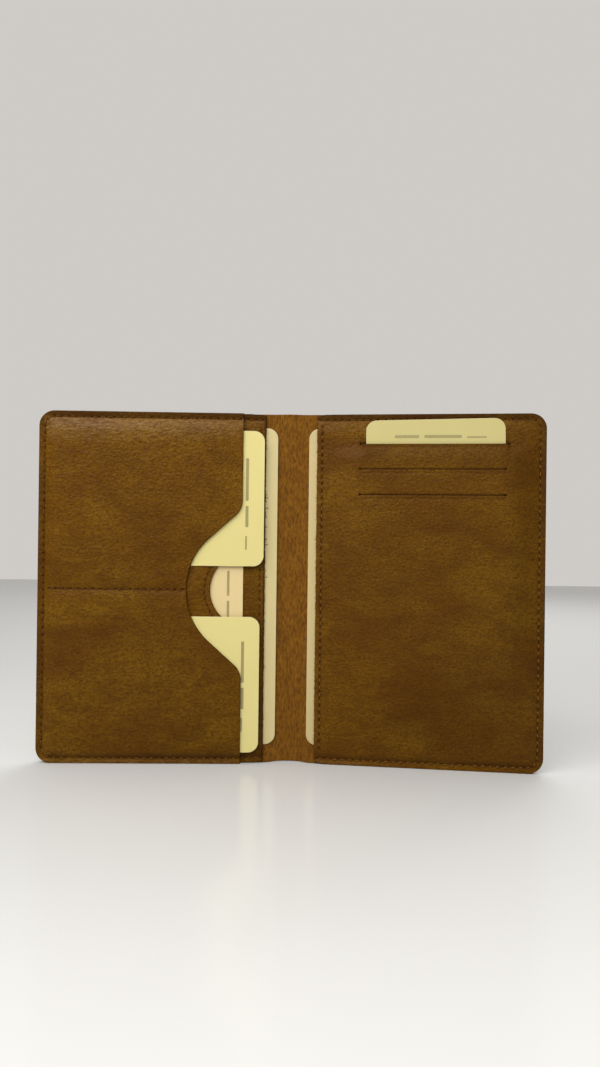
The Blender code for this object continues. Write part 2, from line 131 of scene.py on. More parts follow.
# Right leaf
SLOT_PANEL_EDGE, SLOT_PANEL_SEAM = 10.7, 12.8
SLOT_PANEL_FLAT, SLOT_PANEL_RIM = 1.95, 1.25
BULGE_HEIGHT = 2.25
BULGE_X = (14.0, 29.0, 86.4, 97.0)
BULGE_Z = (4.0, 41.0)
LIP_HEIGHT = 1.4
LIP_X = (27.3, 30.4, 85.0, 86.3)
LIP_DROP = 6.0
SLIT_LEVELS = (128.1, 118.0, 107.9)
SLIT_START = 28.0
SLIT_ENDS = (85.6, 84.1, 84.1)
SLIT_HALF_WIDTH = 0.06
SLIT_DETAIL = (-2.0, -1.6, -1.3, -1.0, -0.6, 0.6, 1.1)
SLIT_PRESS, LINE_PRESS, PRESS_WIDTH = 0.16, 0.14, 0.45
# Strength and width of the painted shade in the slits, round the top slit and in the line under each.
SLIT_SHADE, TOP_SLIT_SHADE, LINE_SHADE = (0.5, 0.45), (0.55, 1.1), (0.32, 0.35)
LIP_SHADE = 0.13
PUNCH_RADIUS = 0.38


# ---- shapes in the leaf's plane


JOIN_WIDTH = 1e-6


def clamp(value):
    return np.clip(value, 0.0, 1.0)


def smooth(value):
    t = clamp(value)
    return t * t * (3 - 2 * t)


def ridge(offset, width):
    """1 at no offset, fading to nothing past the width."""
    return np.exp(-((offset / width) ** 2))


def arc(centre, radius, start, end, steps):
    turn = np.radians(np.linspace(start, end, steps + 1))
    return [(centre[0] + radius * math.cos(a), centre[1] + radius * math.sin(a)) for a in turn]


def leaf_outline(side, inner_edge, drawn_in=0.0):
    """A leaf's edge. drawn_in is how far its two inner corners are pulled towards mid-height."""
    r = CORNER_RADIUS
    outer = arc((LEAF_REACH - r, HEIGHT - r), r, 90, 0, CORNER_STEPS)
    outer += arc((LEAF_REACH - r, r), r, 0, -90, CORNER_STEPS)
    pull = [(inner_edge + x, drawn_in * share) for x, share in CORNER_PULL]
    if not drawn_in:
        pull = pull[:1]
    points = [(x, HEIGHT - z) for x, z in pull] + outer + [(x, z) for x, z in reversed(pull)]
    return [(side * x, z) for x, z in points]


def cover_outline(side):
    """Half of the cover. The spine is arched a little at the bottom and stands a little high at the top."""
    points = leaf_outline(side, SPINE_END)
    spine = np.linspace(0, SPINE_END, SPINE_END + 1)
    arch = ridge(spine, ARCH_WIDTH)
    top = [(side * x, HEIGHT + SPINE_RISE * b) for x, b in zip(spine, arch)]
    bottom = [(side * x, SPINE_ARCH * b) for x, b in zip(spine, arch)]
    return top[:-1] + points + bottom[:-1][::-1]


def half_moon_edge():
    end = 180 - math.degrees(math.acos((ID_POCKET_EDGE - HALF_MOON_X) / HALF_MOON_RADIUS))
    return arc((-HALF_MOON_X, MIDDLE), HALF_MOON_RADIUS, 360 - end, end, MOON_STEPS)[1:-1]


def thumb_notch_edge():
    slope = math.radians(NOTCH_SLOPE)
    centre = (-NOTCH_DEEPEST + NOTCH_RADIUS, MIDDLE)
    deep = arc(centre, NOTCH_RADIUS, 180 + NOTCH_SLOPE, 180 - NOTCH_SLOPE, NOTCH_STEPS)
    run = -CARD_POCKET_EDGE - SHOULDER_RADIUS * (1 - math.cos(slope)) - deep[-1][0]
    shoulder_z = deep[-1][1] + run / math.tan(slope) + SHOULDER_RADIUS * math.sin(slope)
    centre = (-CARD_POCKET_EDGE - SHOULDER_RADIUS, shoulder_z)
    top = arc(centre, SHOULDER_RADIUS, -NOTCH_SLOPE, 0, CORNER_STEPS)
    bottom = [(x, 2 * MIDDLE - z) for x, z in reversed(top)]
    return bottom + deep + top


def slit_outline(level, end):
    """A closed cut between two small punched holes."""
    half_angle = math.degrees(math.asin(SLIT_HALF_WIDTH / PUNCH_RADIUS))
    left = arc((SLIT_START, level), PUNCH_RADIUS, half_angle, 360 - half_angle, CORNER_STEPS)
    right = arc((end, level), PUNCH_RADIUS, -180 + half_angle, 180 - half_angle, CORNER_STEPS)
    return left + right


def rounded_rectangle(x0, x1, z0, z1, radius):
    corners = (
        ((x1 - radius, z0 + radius), -90, 0),
        ((x1 - radius, z1 - radius), 0, 90),
        ((x0 + radius, z1 - radius), 90, 180),
        ((x0 + radius, z0 + radius), 180, 270),
    )
    return [point for centre, start, end in corners for point in arc(centre, radius, start, end, 10)]


def resample(points, step):
    """The same closed outline with no piece longer than step, every given corner kept."""
    points = np.array(points, float)
    out = []
    for a, b in zip(points, np.roll(points, -1, axis=0)):
        count = max(1, math.ceil(np.hypot(*(b - a)) / step))
        out += [a + (b - a) * i / count for i in range(count)]
    return np.array(out)


def even_points(path, step):
    """Points at an even spacing near step along an open path."""
    path = np.array(path, float)
    lengths = np.r_[0, np.cumsum(np.hypot(*np.diff(path, axis=0).T))]
    count = max(1, round(lengths[-1] / step))
    at = np.linspace(0, lengths[-1], count + 1)
    return np.c_[np.interp(at, lengths, path[:, 0]), np.interp(at, lengths, path[:, 1])]


def turn_left(loop):
    """The loop with its inside on the left."""
    x, z = loop.T
    area = np.sum(x * np.roll(z, -1) - np.roll(x, -1) * z)
    return loop if area > 0 else loop[::-1]


def directions(path):
    """The unit direction at each point of a path in the leaf's plane."""
    along = np.gradient(path, axis=0)
    return along / np.hypot(*along.T)[:, None]


def unit(vectors):
    return vectors / np.linalg.norm(vectors, axis=1)[:, None]


def inset(loop, distance):
    """A loop moved to its left by a distance, which may differ from point to point."""
    before, after = loop - np.roll(loop, 1, axis=0), np.roll(loop, -1, axis=0) - loop
    before /= np.hypot(*before.T)[:, None]
    after /= np.hypot(*after.T)[:, None]
    along = before + after
    along /= np.maximum(np.hypot(*along.T), 1e-6)[:, None]
    return loop + np.reshape(distance, (-1, 1)) * np.c_[-along[:, 1], along[:, 0]]


def ring(loop, distance, joined):
    """The inset loop. Where the sheet is joined to its other half at x = 0, it stays on the join."""
    moved = inset(loop, distance)
    if joined:
        moved[np.abs(loop[:, 0]) < JOIN_WIDTH, 0] = 0.0
    return moved


def inside(points, loop):
    """Which points lie inside a loop, by counting the edges to their right."""
    x, z = points[:, :1], points[:, 1:]
    ax, az = loop.T
    bx, bz = np.roll(loop, -1, axis=0).T
    crosses = ((az > z) != (bz > z)) & (x < (bx - ax) * (z - az) / (bz - az + 1e-12) + ax)
    return crosses.sum(axis=1) % 2 == 1


def fill(points, loops):
    """Triangles over the points, facing forwards, and the new index of each loop's points.

    The first of the points are the closed loops, whose edges are kept.
    """
    edges, first = [], 0
    for loop in loops:
        edges += [(first + i, first + (i + 1) % len(loop)) for i in range(len(loop))]
        first += len(loop)
    result = delaunay_2d_cdt([Vector(p) for p in points], edges, [], 0, 1e-5)
    flat = np.array([tuple(v) for v in result[0]])
    came_from = {source: i for i, sources in enumerate(result[3]) for source in sources}
    triangles = np.array([face for face in result[2] if len(face) == 3])
    a, b, c = (flat[triangles[:, i]] for i in range(3))
    area = (b[:, 0] - a[:, 0]) * (c[:, 1] - a[:, 1]) - (b[:, 1] - a[:, 1]) * (c[:, 0] - a[:, 0])
    triangles[area < 0] = triangles[area < 0][:, ::-1]
    indices, first = [], 0
    for loop in loops:
        indices.append([came_from[first + i] for i in range(len(loop))])
        first += len(loop)
    return flat, triangles, indices


def finder(targets):
    """A search tree for nearest()."""
    tree = KDTree(len(targets))
    for i, (x, z) in enumerate(targets):
        tree.insert((x, z, 0.0), i)
    tree.balance()
    return tree


def nearest(points, tree):
    """Each point's distance to the nearest point of a finder."""
    return np.array([tree.find((x, z, 0.0))[2] for x, z in points])


def ripple(x, z, size, seed):
    """Smooth noise from -1 to 1 over the leaf."""
    offset = seed * 17.3
    return np.array([noise.noise((a / size + offset, b / size, offset)) for a, b in zip(x, z)])


# ---- from the leaf to the world


def place(side, points, turn=1.0):
    """World positions in metres of (x, z, depth) points. turn is the share of the leaf's tilt they have."""
    x, z, depth = np.array(points, float).reshape(-1, 3).T
    angle = -side * TILT[side] * turn
    along, ahead = x - side * CREASE_X, COVER_THICKNESS - depth
    hinge = CREASES[side]["pos_m"]
    return np.c_[
        hinge[0] + MM * (along * np.cos(angle) - ahead * np.sin(angle)),
        hinge[1] + MM * (along * np.sin(angle) + ahead * np.cos(angle)),
        MM * z,
    ]


def bend_share(x):
    """The share of the leaf's tilt that the cover has: none at the spine's middle, all past BEND_REACH."""
    return 1 - smooth((BEND_REACH - np.abs(x)) / BEND_REACH)


def add_object(name, data):
    obj = bpy.data.objects.new(name, data)
    bpy.context.scene.collection.objects.link(obj)
    return obj


def new_object(name, vertices, faces, leaf_points, cut, dark, materials, face_slots=None):
    """A mesh object. Its leaf coordinates, cut edges and darkening are attributes that the materials read."""
    mesh = bpy.data.meshes.new(name)
    mesh.from_pydata([tuple(v) for v in vertices], [], faces)
    for attribute, values in (("cut", cut), ("dark", dark)):
        stored = mesh.attributes.new(attribute, "FLOAT", "POINT")
        stored.data.foreach_set("value", np.asarray(values, np.float32))
    stored = mesh.attributes.new("leaf_mm", "FLOAT_VECTOR", "POINT")
    stored.data.foreach_set("vector", np.asarray(leaf_points, np.float32).ravel())
    for material in materials:
        mesh.materials.append(material)
    if face_slots is not None:
        mesh.polygons.foreach_set("material_index", face_slots)
    mesh.shade_smooth()
    mesh.update()
    return add_object(name, mesh)


# ---- seams


def nowhere(points):
    return np.zeros(len(points))


class Seam:
    """A row of stitches along a path in the leaf's plane, and the marks it presses into the leather.

    bold gives where its stitches are short pale loops in a dark furrow, from 0 to 1: the furrow's dark is
    painted shade, the loops' paleness partly a paler thread and partly painted highlight.
    """

    def __init__(self, path, pitch=STITCH_PITCH, bold=nowhere):
        self.path = even_points(path, 0.3)
        self.bold = bold
        self.holes = even_points(path, pitch)
        along = directions(self.holes)
        slots = np.vstack([self.holes + along * offset for offset in (-HOLE_LENGTH, 0, HOLE_LENGTH)])
        self.path_finder, self.hole_finder = finder(self.path), finder(slots)

    def detail(self):
        """Extra mesh points where the marks are."""
        along = directions(self.path)
        across = np.c_[-along[:, 1], along[:, 0]]
        return np.vstack([self.path + across * offset for offset in SEAM_OFFSETS])

    def press(self, points):
        """How far the seam presses the surface in: a groove along it and a hole at each stitch's end."""
        groove = GROOVE_DEPTH * ridge(nearest(points, self.path_finder), GROOVE_WIDTH)
        return groove + HOLE_DEPTH * ridge(nearest(points, self.hole_finder), HOLE_WIDTH)

    def shade(self, points):
        """The painted shade in the groove and the holes, fainter along the bottom edge."""
        strength = 0.22 + 0.32 * self.bold(points)
        groove = strength * ridge(nearest(points, self.path_finder), GROOVE_SHADE_WIDTH)
        holes = 1.15 * ridge(nearest(points, self.hole_finder), HOLE_SHADE_WIDTH)
        return np.maximum(groove, holes) * (0.5 + 0.5 * smooth((points[:, 1] - 4) / 3))


def rim_path(side, inner_end):
    """The seam round a leaf's three outer sides."""
    radius, outer = CORNER_RADIUS - SEAM_INSET, LEAF_REACH - SEAM_INSET
    low, high = SEAM_INSET, HEIGHT - SEAM_INSET
    path = [(inner_end, low)]
    path += arc((outer - radius, low + radius), radius, -90, 0, 8)
    path += arc((outer - radius, high - radius), radius, 0, 90, 8)
    path.append((inner_end, high))
    return [(side * x, z) for x, z in path]


def add_tube(vertices, faces, centre, radius, across, sides, flatness=1.0):
    """Adds a closed tube along a line to a mesh. Its flat way lies square to the line and to across."""
    direction = unit(np.gradient(centre, axis=0))
    side_way = unit(np.cross(direction, across))
    up_way = np.cross(side_way, direction)
    first, last = len(vertices), len(vertices) + (len(centre) - 1) * sides
    for i in range(len(centre)):
        for k in range(sides):
            a = 2 * math.pi * k / sides
            offset = side_way[i] * math.cos(a) + up_way[i] * math.sin(a) * flatness
            vertices.append(centre[i] + radius[i] * offset)
    for rib in range(first, last, sides):
        for k in range(sides):
            a, b = rib + k, rib + (k + 1) % sides
            faces.append((a, a + sides, b + sides, b))
    faces.append(tuple(range(first, first + sides)))
    faces.append(tuple(reversed(range(last, last + sides))))


def stitches(name, node, side, seam, surface, facing=1):
    """One short, slightly slanted thread from each hole to the next, its ends sunk in the holes.

    facing is 1 on the front and -1 on the cover's back. Slant and fullness vary a little along the seam.
    """
    sides, ribs = 8, 9
    vertices, faces, marks, paleness = [], [], [], []
    for number, (start, end) in enumerate(zip(seam.holes[:-1], seam.holes[1:])):
        along = (end - start) / np.hypot(*(end - start))
        across = np.array([-along[1], along[0]])
        slant = 0.10 + 0.05 * math.sin(number * 2.3)
        fullness = 1 + 0.12 * math.sin(number * 3.7)
        bold = float(seam.bold(((start + end) / 2)[None, :])[0])
        share = np.linspace(0, 1, ribs)
        span = PLAIN_SPAN - BOLD_SPAN_LOSS * bold
        flat = start + (end - start) * (0.5 + span * (share[:, None] - 0.5))
        flat = flat + across * slant * (2 * share[:, None] - 1)
        lift = -THREAD_SINK + THREAD_CROWN * fullness * np.sin(np.pi * share) ** 0.4
        depth = surface(flat) + facing * lift
        radius = THREAD_RADIUS * fullness * (0.75 + 0.25 * np.sin(np.pi * share))
        add_tube(vertices, faces, np.c_[flat, depth], radius, (0, 0, 1.0), sides, THREAD_FLATNESS)
        for run in share * STITCH_PITCH + number * 0.7:
            marks += [(run, k / sides, number) for k in range(sides)]
        # The bold share becomes the thread's paleness: partly a paler thread, partly painted highlight.
        paleness += [bold] * (ribs * sides)
    points = np.array(vertices)
    world = place(side, points, bend_share(points[:, 0]) if facing < 0 else 1.0)
    obj = new_object(name, world, faces, marks, nowhere(points), paleness, [MATERIAL["thread"]])
    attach(obj, BODY[side])
    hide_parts(node)


# ---- leather panels


# The rings of a cut edge, from the front: how far in and how far down each lies. Then their stains.
EDGE_ROUND = ((0.26, 0.0), (0.10, 0.05), (0.02, 0.2))
BACK_ROUND = ((0.0, 0.2), (0.12, 0.0))
EDGE_STAINS = (0.55, 1.0, 1.0)
SLIT_ROUND = 0.35


def round_scales(loops):
    """The outer edge is fully rounded, and the slits' edges less."""
    return [1.0] + [SLIT_ROUND] * (len(loops) - 1)


def rough_cut(loop, fray, seed):
    """The loop with its free edges a little ragged, and its stitched edges less so."""
    x, z = loop.T
    ragged = sum(height * ripple(x, z, size, seed + i) for i, (height, size) in enumerate(RAGGED))
    free = smooth((from_edge(loop) - 1) / 3)
    return inset(loop, ragged * (STITCHED_FRAY + (fray - STITCHED_FRAY) * free))


def on_sheet(points, rims):
    """Which points lie inside the outer rim and outside the holes."""
    found = inside(points, rims[0])
    for rim in rims[1:]:
        found &= ~inside(points, rim)
    return found


def sheet_mesh(outline, holes, spacing, details, joined, fray, seed):
    """Well-shaped triangles over an outline with holes, finer where the detail points are."""
    edge = turn_left(resample(outline, EDGE_STEP))
    edge = edge if joined else rough_cut(edge, fray, seed)
    loops = [edge] + [turn_left(resample(hole, EDGE_STEP))[::-1] for hole in holes]
    rims = [ring(loop, EDGE_ROUND[0][0] * scale, joined) for loop, scale in zip(loops, round_scales(loops))]
    border = np.vstack(rims)
    low, high = border.min(axis=0), border.max(axis=0)
    rows = np.arange(low[1], high[1], spacing * ROW_SHARE)
    grid = np.array([
        (x + (spacing / 2 if i % 2 else 0), z)
        for i, z in enumerate(rows)
        for x in np.arange(low[0], high[0], spacing)
    ])
    extra = np.vstack(details)
    grid = grid[nearest(grid, finder(extra)) > spacing * DETAIL_CLEARANCE]
    keep, cells = [], set()
    for i, point in enumerate(extra):
        cell = (round(point[0] / DETAIL_CELL), round(point[1] / DETAIL_CELL))
        if cell not in cells:
            cells.add(cell)
            keep.append(i)
    grid = np.vstack([grid, extra[keep]])
    grid = grid[on_sheet(grid, rims)]
    grid = grid[nearest(grid, finder(border)) > CLEAR_OF_EDGE]
    flat, triangles, rim_index = fill(np.vstack([border, grid]), rims)
    triangles = triangles[on_sheet(flat[triangles].mean(axis=1), rims)]
    return flat, triangles, loops, rim_index


def leather_sheet(name, side, outline, upper, lower, details, dark, holes=(), spacing=SHEET_SPACING,
                  bend=False, fray=0.05, seed=0):
    """A closed piece of leather between two surfaces, with rounded cut edges.

    upper and lower give the depth of the front and back surface at (x, z) points, and dark the shading. A
    sheet that bends is half of the cover: its front is the flesh side, and its other half joins it at x = 0.
    """
    materials = [MATERIAL["flesh"], MATERIAL["leather"]] if bend else [MATERIAL["leather"]]
    flat, triangles, loops, rims = sheet_mesh(outline, holes, spacing, details, bend, fray, seed)
    count = len(flat)
    back = flat.copy()
    for loop, rim, scale in zip(loops, rims, round_scales(loops)):
        back[rim] = ring(loop, BACK_ROUND[-1][0] * scale, bend)
    leaf = [np.c_[flat, upper(flat)], np.c_[back, lower(back)]]
    cut = [np.zeros(count), np.zeros(count)]
    faces = [triangles, triangles[:, ::-1] + count]
    slots = [np.zeros(len(triangles), int), np.full(len(triangles), int(bend))]
    quads, total = [], 2 * count
    for loop, rim, scale in zip(loops, rims, round_scales(loops)):
        front, rear = upper(loop), lower(loop)
        free = np.where(bend & (np.abs(loop[:, 0]) < JOIN_WIDTH), 0.0, 1.0)
        rings = [(ring(loop, away * scale, bend), front - drop * free) for away, drop in EDGE_ROUND[1:]]
        rings += [(ring(loop, BACK_ROUND[0][0] * scale, bend), rear + BACK_ROUND[0][1] * free)]
        indices = [np.array(rim)]
        for share, (edge, depth) in zip(EDGE_STAINS, rings):
            leaf.append(np.c_[edge, depth])
            burnished = 1 - smooth((from_edge(loop) - 0.5) / 2)
            cut.append(share * free * (0.5 + 0.5 * burnished))
            indices.append(np.arange(total, total + len(edge)))
            total += len(edge)
        indices.append(np.array(rim) + count)
        for upper_ring, lower_ring in zip(indices[:-1], indices[1:]):
            quads.append(np.c_[upper_ring, lower_ring, np.roll(lower_ring, -1), np.roll(upper_ring, -1)])
    leaf, cut = np.vstack(leaf), np.concatenate(cut)
    quads = np.vstack(quads)
    faces = np.vstack(faces).tolist() + quads.tolist()
    face_slots = np.concatenate([*slots, np.zeros(len(quads), int)]).tolist()
    world = place(side, leaf, bend_share(leaf[:, 0]) if bend else 1.0)
    obj = new_object(name, world, faces, leaf, cut, dark(leaf[:, :2]), materials, face_slots)
    if bend:
        for edge in obj.data.edges:
            edge.use_edge_sharp = bool(np.abs(leaf[list(edge.vertices), 0]).max() < JOIN_WIDTH)
    return obj


FIBRE_COUNT, FIBRE_LEVEL, FIBRE_END = 420, 0.45, 4
FIBRE_RADIUS, FIBRE_CEILING, FIBRE_STAIN = 0.055, 0.33, 0.7


def panel(name, node, side, outline, upper, lower, **looks):
    """A sheet that moves with its leaf and stands for a CAD panel."""
    sheet = leather_sheet(name, side, outline, upper, lower, **looks)
    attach(sheet, BODY[side])
    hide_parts(node)


def fibres(name, side, edge, depth, seed):
    """Short bent hairs along a raw edge, given as its x."""
    rng = np.random.default_rng(seed)
    sides, ribs = 3, 4
    vertices, faces = [], []
    for _ in range(FIBRE_COUNT):
        start = np.array([edge + side * rng.uniform(-0.02, 0.18), rng.uniform(FIBRE_END, HEIGHT - FIBRE_END),
                          depth + rng.uniform(-0.35, 0.3)])
        way = np.array([-side * rng.uniform(0.3, 1.0), rng.uniform(-1.0, 1.0), rng.uniform(-0.5, 0.45)])
        length, curl = rng.uniform(0.25, 0.75), rng.uniform(-0.6, 0.6, 3)
        share = np.linspace(0, 1, ribs)[:, None]
        centre = start + way * length * share + curl * length * share**2 * 0.5
        centre[:, 2] = np.minimum(centre[:, 2], depth + FIBRE_CEILING)
        radius = FIBRE_RADIUS * rng.uniform(0.6, 1.2) * (1 - 0.75 * share)
        add_tube(vertices, faces, centre, radius, (0.3, 0.2, 0.93), sides)
    points = np.array(vertices)
    cut = np.full(len(points), FIBRE_STAIN)
    obj = new_object(name, place(side, points), faces, points, cut, nowhere(points), [MATERIAL["flesh"]])
    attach(obj, BODY[side])


def from_edge(points):
    """The distance in from the leaf's three stitched edges."""
    x, z = points.T
    return np.minimum(np.minimum(LEAF_REACH - np.abs(x), z), HEIGHT - z)


def layer(points, rim, flat):
    """A layer's depth: pressed flat along the rim, and swelling from the seam to its full height."""
    x, z = points.T
    outer = np.minimum(LEAF_REACH - np.abs(x), HEIGHT - z)
    share = np.minimum((outer - RIM_BAND) / RIM_RAMP, (z - RIM_BAND) / BOTTOM_RAMP)
    return rim + (flat - rim) * np.sin(clamp(share) * math.pi / 2)


def rim_shade(points):
    """The band outside the seam, darkened partly by its dye and partly by painted shade, which is strongest
    along the top.
    """
    away, z = from_edge(points), points[:, 1]
    strength = RIM_DYE_AND_SHADE * smooth((z - 2) / 6) + TOP_RIM_DYE_AND_SHADE * smooth((z - HEIGHT + 7) / 4)
    return strength * (1 - smooth((away - 1.7) / 0.9))


def soft_form(points, seed, amount):
    """The slight unevenness of cut leather."""
    x, z = points.T
    return amount * (ripple(x, z, 24.0, seed) + 0.45 * ripple(x, z, 9.0, seed + 1))


def shades(points, *parts):
    """The deepest of the darkenings, mostly painted shade, on top of the broad painted light and shade over
    the leaf.
    """
    deepest = np.zeros(len(points))
    for part in parts:
        deepest = np.maximum(deepest, part)
    base = painted_light_and_shade(points)
    return base + (1 - base) * deepest


def near_the_bottom(points):
    """Where the left leaf's rim seam is bold."""
    return 1 - smooth((points[:, 1] - 4) / 6)


def below_the_top(points):
    """Where the other seams with bold stitches are bold: everywhere but along the top."""
    return 1 - smooth((points[:, 1] - HEIGHT + 9) / 4)


# Broad painted light and shade over the leaf: darker downwards and to the right, a painted sheen along the
# top, painted light along the bottom edge and a lighter painted patch low on the right leaf.
LEAST_PAINTED_SHADE, SHADE_DOWN, SHADE_ACROSS = 0.03, 0.17, 0.14
SHADE_CORNER, SHADE_TOP_RIGHT = 0.10, 0.2
SHEEN_TOP, BOUNCE_BOTTOM, LIGHT_PATCH = 0.23, 0.32, 0.16


def painted_light_and_shade(points):
    """Painted light and shade: darker low down and to the right, with a painted sheen near the top, painted
    light along the bottom edge and a lighter painted patch.
    """
    x, z = points.T
    across = smooth((x + 90) / 190)
    down = smooth((122 - z) / 108)
    deep = SHADE_DOWN * down + SHADE_ACROSS * across + SHADE_CORNER * down * smooth((x - 55) / 40)
    deep = deep + SHADE_TOP_RIGHT * (1 - down) * smooth((x - 80) / 10)
    # A painted sheen along the top, weaker to the right.
    painted_sheen = smooth((z - HEIGHT + 16) / 11) * (1 - 0.6 * across)
    # A lighter painted patch low on the right leaf, near the spine.
    cloud = np.exp(-(((x - 27) / 20) ** 2) - ((z - 28) / 30) ** 2)
    # Painted light along the bottom rim.
    bounce_edge = smooth((2.5 - z) / 0.9)
    return LEAST_PAINTED_SHADE + deep - SHEEN_TOP * painted_sheen - LIGHT_PATCH * cloud - BOUNCE_BOTTOM * bounce_edge


def plump(points, height, reach):
    """Leather that swells away from its stitched rim."""
    return height * (1 - np.exp(-np.maximum(from_edge(points) - RIM_BAND, 0) / reach))


# ---- materials


class Nodes:
    """Short ways to add nodes to a tree."""

    def __init__(self, tree):
        self.tree = tree

    def node(self, kind, inputs=(), output=0, **properties):
        made = self.tree.nodes.new("ShaderNode" + kind)
        for key, value in properties.items():
            setattr(made, key, value)
        for key, value in dict(inputs).items():
            if isinstance(value, bpy.types.NodeSocket):
                self.tree.links.new(value, made.inputs[key])
            else:
                made.inputs[key].default_value = value
        return made.outputs[output]

    def math(self, operation, a, b=0.0):
        return self.node("Math", {0: a, 1: b}, operation=operation)

    def ramp(self, value, low, high, to_low=0.0, to_high=1.0):
        return self.node("MapRange", {"Value": value, "From Min": low, "From Max": high, "To Min": to_low,
                                      "To Max": to_high})


class Paint(Nodes):
    """A Principled material, painted by leaf coordinates in millimetres."""

    def __init__(self, name, roughness, **sockets):
        self.material = bpy.data.materials.new(name)
        self.material.use_nodes = True
        super().__init__(self.material.node_tree)
        self.shader = self.tree.nodes["Principled BSDF"]
        self.shader.inputs["Roughness"].default_value = roughness
        for socket, value in sockets.items():
            self.shader.inputs[socket.replace("_", " ")].default_value = value

    def attribute(self, name, output):
        return self.node("Attribute", output=output, attribute_name=name)

    def coords(self, scale=(1, 1, 1), turn=0.0):
        spot = self.attribute("leaf_mm", "Vector")
        return self.node("Mapping", {"Vector": spot, "Scale": scale, "Rotation": (0, 0, turn)})

    def noise(self, vector, size, detail=2.0, roughness=0.5, distortion=0.0):
        inputs = {"Vector": vector, "Scale": 1 / size, "Detail": detail, "Roughness": roughness,
                  "Distortion": distortion}
        return self.node("TexNoise", inputs)

    def cells(self, vector, size):
        inputs = {"Vector": vector, "Scale": 1 / size, "Randomness": 0.95, "Smoothness": 0.35}
        return self.node("TexVoronoi", inputs, "Distance", feature="SMOOTH_F1")

    def mix(self, share, a, b):
        a, b = ((*c, 1.0) if isinstance(c, tuple) else c for c in (a, b))
        return self.node("Mix", {0: share, 6: a, 7: b}, 2, data_type="RGBA")

    def bump(self, height, distance, normal=None):
        inputs = {"Height": height, "Distance": distance * MM, "Strength": 1.0}
        if normal:
            inputs["Normal"] = normal
        return self.node("Bump", inputs)

    def set(self, socket, value):
        self.tree.links.new(value, self.shader.inputs[socket])


def leather_material():
    """Milled full grain leather: small soft pebbles, short creases and blotches of dye, dark at cut edges,
    with painted shade and a painted sheen where the dark attribute says.
    """
    golden, mid, deep = (0.193, 0.0900, 0.0025), (0.127, 0.0482, 0.0007), (0.077, 0.0262, 0.0003)
    sheen_colour, darkest = (0.27, 0.162, 0.058), (0.022, 0.0065, 0.0005)
    p = Paint("leather", 0.36, Specular_IOR_Level=0.085)
    dark = p.attribute("dark", "Fac")
    cloud = p.noise(p.coords((0.8, 1.1, 1.0), 0.3), 30.0, 2.0, 0.5, 0.4)
    blotch = p.noise(p.coords((0.6, 1.3, 1.0), 0.15), 9.0, 3.0, 0.6, 0.9)
    streak = p.noise(p.coords((0.46, 1.55, 1.0), 0.13), 1.4, 3.0, 0.62, 0.9)
    grain = p.noise(p.coords((0.9, 1.1, 1.0), 0.1), 0.85, 3.0, 0.6)
    pebble = p.cells(p.coords((0.8, 1.15, 1.0), 0.1), 1.15)
    colour = p.mix(p.ramp(cloud, 0.35, 0.64), mid, golden)
    colour = p.mix(p.ramp(blotch, 0.42, 0.76, 0.0, 0.62), colour, deep)
    colour = p.mix(p.ramp(streak, 0.46, 0.70, 0.0, 0.42), colour, deep)
    colour = p.mix(p.ramp(grain, 0.42, 0.66, 0.0, 0.75), colour, deep)
    # Below zero the darkening paints a paler colour, broken up by the creases: a painted sheen and painted
    # light.
    painted_sheen = p.math("MULTIPLY", p.ramp(dark, -0.3, 0.0, 1.0, 0.0), p.ramp(streak, 0.3, 0.6, 1.0, 0.1))
    colour = p.mix(painted_sheen, colour, sheen_colour)
    # Above zero the darkening paints shade in.
    colour = p.mix(p.math("MULTIPLY", dark, 0.85), colour, darkest)
    colour = p.mix(p.attribute("cut", "Fac"), colour, darkest)
    p.set("Base Color", colour)
    normal = p.bump(p.math("MULTIPLY", pebble, -1.0), 0.24)
    normal = p.bump(streak, 0.18, normal)
    normal = p.bump(grain, 0.08, normal)
    p.set("Normal", normal)
    rough = p.ramp(p.noise(p.coords(), 3.0, 3.0), 0.3, 0.7, 0.31, 0.43)
    p.set("Roughness", p.math("ADD", rough, p.math("MULTIPLY", dark, 0.5)))
    return p.material


def suede_material():
    """The flesh side of the cover: a short matted nap."""
    p = Paint("flesh_side", 0.92, Specular_IOR_Level=0.2)
    cloud = p.noise(p.coords(), 6.0, 4.0, 0.65, 0.5)
    nap = p.noise(p.coords((1.8, 0.5, 1.0), 0.08), 1.1, 5.0, 0.7)
    colour = p.mix(p.ramp(cloud, 0.35, 0.65), (0.185, 0.071, 0.003), (0.235, 0.098, 0.006))
    colour = p.mix(p.ramp(nap, 0.42, 0.62, 0.0, 0.85), colour, (0.085, 0.031, 0.002))
    colour = p.mix(p.math("MULTIPLY", p.attribute("dark", "Fac"), 0.8), colour, (0.02, 0.009, 0.003))
    p.set("Base Color", colour)
    p.set("Normal", p.bump(nap, 0.3, p.bump(cloud, 0.2)))
    return p.material


def thread_material():
    """Waxed three-ply thread, paler where it is bold: partly a paler thread, partly painted highlight. Here
    leaf_mm runs along and round each stitch.
    """
    p = Paint("thread", 0.55, Specular_IOR_Level=0.15)
    twist = p.node("TexWave", {"Vector": p.coords((1.0, 1.0, 0.0), 0.0), "Scale": 0.9, "Distortion": 0.4},
                   wave_type="BANDS", bands_direction="DIAGONAL")
    tone = p.noise(p.coords(), 4.0)
    plain = p.mix(twist, (0.07, 0.023, 0.001), (0.13, 0.048, 0.002))
    pale = p.mix(twist, (0.13, 0.046, 0.003), (0.32, 0.14, 0.026))
    colour = p.mix(p.attribute("dark", "Fac"), plain, pale)
    colour = p.mix(p.ramp(tone, 0.45, 0.8, 0.0, 0.25), colour, (0.24, 0.10, 0.016))
    p.set("Base Color", colour)
    p.set("Normal", p.bump(twist, 0.08))
    return p.material


